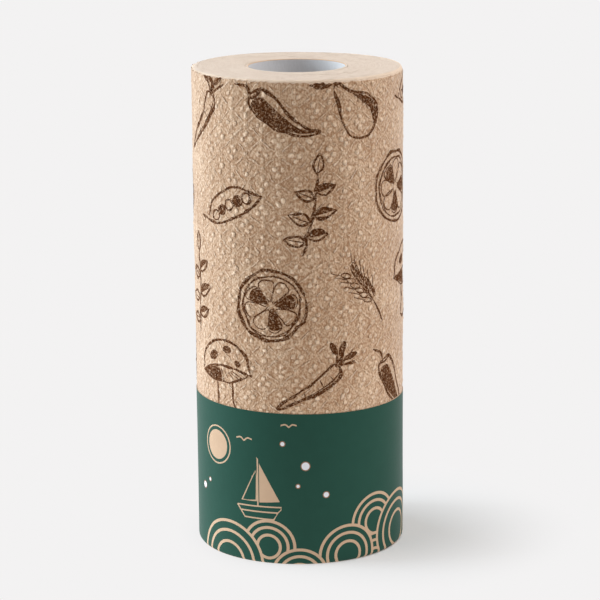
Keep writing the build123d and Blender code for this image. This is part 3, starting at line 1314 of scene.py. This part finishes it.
# %% [markdown]
# ## The band itself
# The band is a strip wound once round, with its end glued over its start at the back. Its flat
# net is cut along every printed edge, so each ink has its own crisp faces, and along a fine
# grid, so that the bent strip stays round. The strip is thin but closed, with a front, a back
# and edges. At the foot it curls under the roll's soft edge. Its upper edge lies a little
# askew, as on the real roll.

# %% Build the band
BAND_THICKNESS = 0.2
BAND_CLEARANCE = 0.12
BAND_START = math.radians(104.0)
BAND_LAP = 14.0
BAND_COLUMN = 2.4
BAND_ROWS = 24
CURL = math.radians(55.0)
BAND_SLANT = 0.9
RIPPLE = 0.05
BAND_RADIUS = ROLL_RADIUS - BAND_SQUEEZE + BAND_CLEARANCE + BAND_THICKNESS
STRIP_START = (BAND_START - FRONT - 2 * math.pi) * ROLL_RADIUS
STRIP_END = STRIP_START + AROUND + BAND_LAP
CURL_START = BASE_ROUNDING - BASE_ROUNDING * CURL
LOOSE_TURN = LOOSE_END + 2 * math.pi - BAND_START
BRIDGE = math.radians(30.0)
LAP_STEP = BAND_THICKNESS + 0.02
MOTTLE = 0.86


def strip_radius(front_distance):
    """Radius of the strip's front: it follows the paper, then spans its step and its own start."""
    turn = (front_distance - STRIP_START) / ROLL_RADIUS
    paper = turned_radius(along_of(front_distance)) - ROLL_RADIUS
    bridge = SHEET_STEP + (LAP_STEP - SHEET_STEP) * eased((turn - LOOSE_TURN) / BRIDGE)
    return BAND_RADIUS + np.where(turn > LOOSE_TURN, bridge, paper)


def bend_strip(places, depth):
    """Points of the band from flat places, with a depth under its front."""
    front_distance, up = places[:, 0], places[:, 1]
    curl = np.clip((BASE_ROUNDING - up) / BASE_ROUNDING, 0, None)
    reach = BASE_ROUNDING + BAND_THICKNESS - depth
    radius = strip_radius(front_distance) - depth - reach * (1 - np.cos(curl))
    height = np.where(curl > 0, BASE_ROUNDING - reach * np.sin(curl), up)
    turn = FRONT + front_distance / ROLL_RADIUS
    radius = radius + RIPPLE * random_waves(41, 40.0, front_distance, up) * np.clip(up / 20, 0, 1)
    edge = -BAND_SLANT * np.sin(front_distance / ROLL_RADIUS) * (up > BAND_TOP - 0.01)
    return np.stack([np.cos(turn) * radius, np.sin(turn) * radius, height + edge], axis=1)


def band_net():
    """The strip's flat net and the ink of each triangle."""
    columns = np.linspace(STRIP_START, STRIP_END, int((STRIP_END - STRIP_START) / BAND_COLUMN) + 1)
    curled = np.linspace(CURL_START, BASE_ROUNDING, 5)
    rows = np.concatenate([curled, np.linspace(BASE_ROUNDING, BAND_TOP, BAND_ROWS)[1:]])
    points = [(x, z) for x in columns for z in rows]
    edges = grid_edges(np.arange(len(points)).reshape(len(columns), len(rows)))
    outlines = [circle(x, z, radius * share - trim)
                for x, z, radius in waves for share in RING_SHARES for trim in (0, WAVE_LINE)]
    outlines += [circle(x, z, radius - trim) for x, z, radius in DROPS for trim in (0, DROP_RIM)]
    outlines += [circle(*SUN), mainsail] + [stroke_outline(*line) for line in thin_lines]
    places, triangles = cut_net(points, edges, outlines)
    middles = places[triangles].mean(axis=1)
    kept = (middles[:, 0] > STRIP_START) & (middles[:, 0] < STRIP_END)
    kept &= (middles[:, 1] > CURL_START) & (middles[:, 1] < BAND_TOP)
    triangles, middles = triangles[kept], middles[kept]
    used, triangles = np.unique(triangles, return_inverse=True)
    return places[used], triangles.reshape(-1, 3), paint(middles)


def close_net(places, triangles, bend_at, thickness):
    """A closed strip from a flat net: front, back and the faces between their borders."""
    count = len(places)
    points = np.concatenate([bend_at(places, 0.0), bend_at(places, thickness)])
    sides = np.concatenate([triangles[:, [0, 1]], triangles[:, [1, 2]], triangles[:, [2, 0]]])
    keys = {(a, b) for a, b in sides.tolist()}
    border = [(a, b) for a, b in keys if (b, a) not in keys]
    faces = triangles.tolist() + (triangles[:, ::-1] + count).tolist()
    faces += [(b, a, a + count, b + count) for a, b in sorted(border)]
    return points, faces


def print_ink(name, colour, roughness):
    """Smooth printed paper: a faint grain, a little mottle, and a soft gloss."""
    kit = Kit(bpy.data.materials.new(name))
    deeper = tuple(MOTTLE * part for part in colour)
    grain = kit.noise(0.5, 2.0)
    colour = kit.blend(kit.noise(5.0, 4.0), colour, deeper)
    return kit.surface(colour, roughness + 0.1 * (grain - 0.5), 0.08, kit.bump(grain, 0.03))


INKS = [
    print_ink("green_print", screen_colour(38, 77, 65), 0.42),
    print_ink("kraft_print", screen_colour(204, 172, 143), 0.6),
    print_ink("white_print", screen_colour(236, 236, 240), 0.5),
    print_ink("rim_print", screen_colour(150, 112, 86), 0.6),
]
net, net_triangles, net_ink = band_net()
band_points, band_faces = close_net(net, net_triangles, bend_strip, BAND_THICKNESS)
plain = np.full(len(band_faces) - len(net_triangles), KRAFT)
printed_band = add_piece("printed_band", band_points, band_faces, INKS, np.concatenate([net_ink, plain]))
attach(printed_band, "root")
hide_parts("paper_band")
